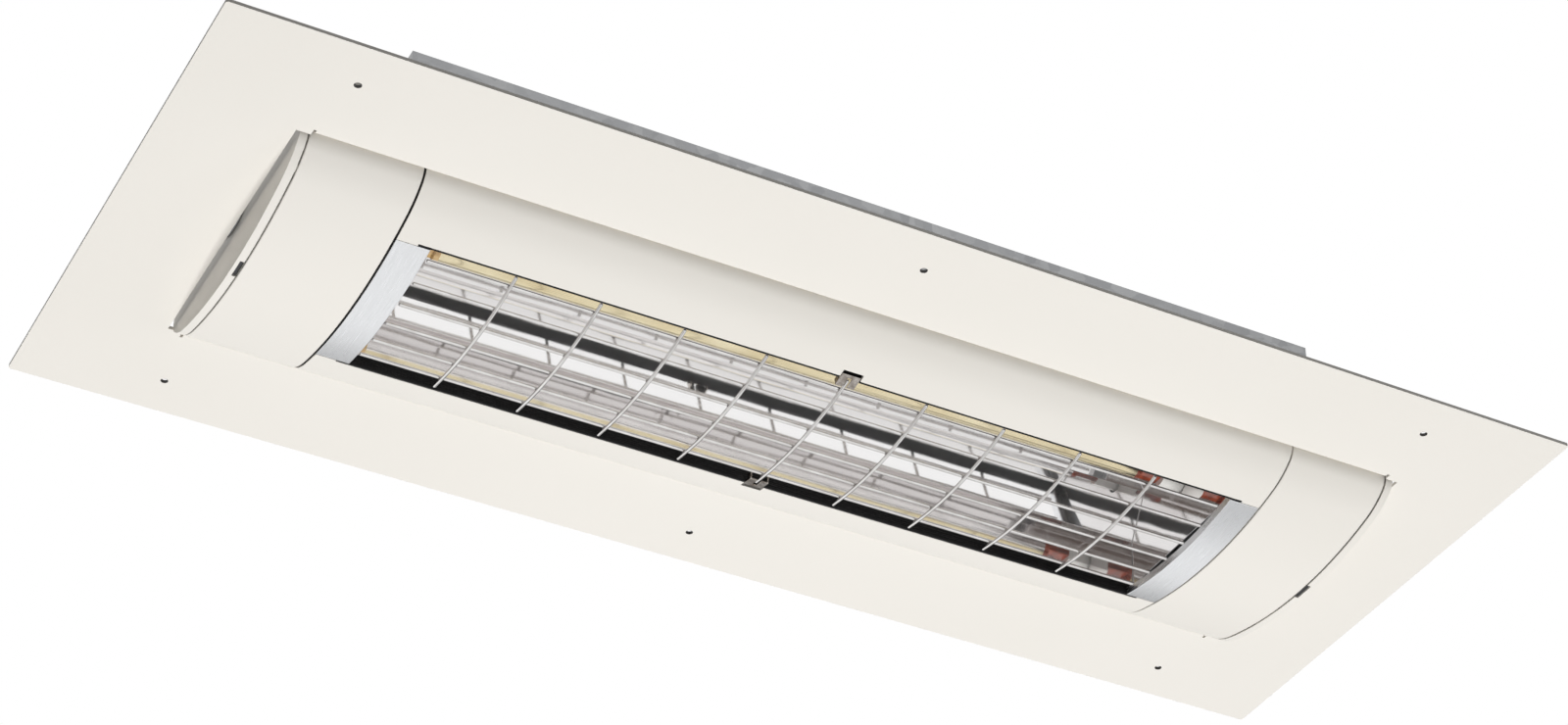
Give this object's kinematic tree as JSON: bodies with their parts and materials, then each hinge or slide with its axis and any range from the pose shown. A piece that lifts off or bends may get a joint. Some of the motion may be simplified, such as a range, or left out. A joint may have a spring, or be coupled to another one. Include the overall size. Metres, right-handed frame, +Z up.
{
  "type": "recessed infrared heater",
  "caption": "Infrared lamp heater with a curved face and wire guard, set in a flat frame plate with a sheet metal channel behind it for a ceiling.",
  "frame": {"origin": "middle of the frame plate on its ceiling face, which is also the middle of the ceiling screw pattern", "axes": "+X along the heater, +Y across it, +Z up into the ceiling; the curved face and the guard point to -Z"},
  "size_m": [0.8, 0.332, 0.0978],
  "materials": {
    "cream_paint": "satin powder coat, fine texture",
    "zinc_sheet": "zinc coated sheet, dull",
    "steel_fixings": "zinc plated",
    "black_bolts": "black oxide",
    "black_rubber": "matt",
    "black_plastic": "matt moulded",
    "satin_aluminium": "satin",
    "black_anodised": "ribbed, black anodised",
    "mirror_aluminium": "bright rolled mirror",
    "gold_coated_quartz": "gold coated, polished",
    "tungsten": "drawn",
    "fired_quartz": "red brown flattened quartz",
    "ceramic": "white ceramic, unglazed",
    "brass_contacts": "bare",
    "spring_steel": "bright",
    "chrome_wire": "bright plated",
    "brown_lead": "silicone sleeve",
    "blue_lead": "silicone sleeve",
    "earth_lead_sleeve": "silicone sleeve"
  },
  "bodies": {
    "heater": {"frame_plate": "cream_paint", "recess_channel": "zinc_sheet", "channel_rivets": "steel_fixings", "end_bracket_left": "zinc_sheet", "end_bracket_right": "zinc_sheet", "bracket_rivets": "steel_fixings", "pivot_disc_left": "zinc_sheet", "pivot_disc_right": "zinc_sheet", "pivot_bolts": "black_bolts", "centre_housing": "cream_paint", "end_sleeve_left": "cream_paint", "end_sleeve_right": "cream_paint", "end_cap_left": "cream_paint", "end_cap_right": "cream_paint", "cap_latches": "black_plastic", "cap_screws": "steel_fixings", "seam_gaskets": "black_rubber", "cap_gaskets": "black_rubber", "bulkhead_left": "zinc_sheet", "bulkhead_right": "zinc_sheet", "trim_left": "satin_aluminium", "trim_right": "satin_aluminium", "liner_near": "black_anodised", "liner_far": "black_anodised", "reflector": "mirror_aluminium", "end_mirror_left": "mirror_aluminium", "end_mirror_right": "mirror_aluminium", "heat_shield": "zinc_sheet", "lamp_tube": "gold_coated_quartz", "lamp_filament": "tungsten", "lamp_pinches": "fired_quartz", "lamp_bases": "ceramic", "lamp_holder_left": "ceramic", "lamp_holder_right": "ceramic", "contact_bush_left": "brass_contacts", "contact_bush_right": "brass_contacts", "guard_clips": "chrome_wire", "terminal_block": "ceramic", "terminal_screws": "brass_contacts", "cable_gland": "black_plastic", "gland_cap": "black_plastic", "gland_locknut": "black_plastic", "live_lead": "brown_lead", "neutral_lead": "blue_lead", "earth_lead": "earth_lead_sleeve", "earth_screw": "brass_contacts", "lead_grommets": "black_rubber"},
    "guard": {"guard_cross_wires": "chrome_wire", "guard_long_wires": "chrome_wire"},
    "contact_left": {"contact_pin_left": "brass_contacts", "contact_spring_left": "spring_steel"},
    "contact_right": {"contact_pin_right": "brass_contacts", "contact_spring_right": "spring_steel"}
  },
  "joints": [
    {"name": "guard_pull", "type": "slide", "parent": "heater", "child": "guard", "axis": [0, 0, -1], "range_m": [0, 0.04]},
    {"name": "contact_left_press", "type": "slide", "parent": "heater", "child": "contact_left", "axis": [-1, 0, 0], "range_m": [0, 0.002], "stiffness_N_per_m": 400, "springref_m": -0.005},
    {"name": "contact_right_press", "type": "slide", "parent": "heater", "child": "contact_right", "axis": [1, 0, 0], "range_m": [0, 0.002], "stiffness_N_per_m": 400, "springref_m": -0.005}
  ]
}
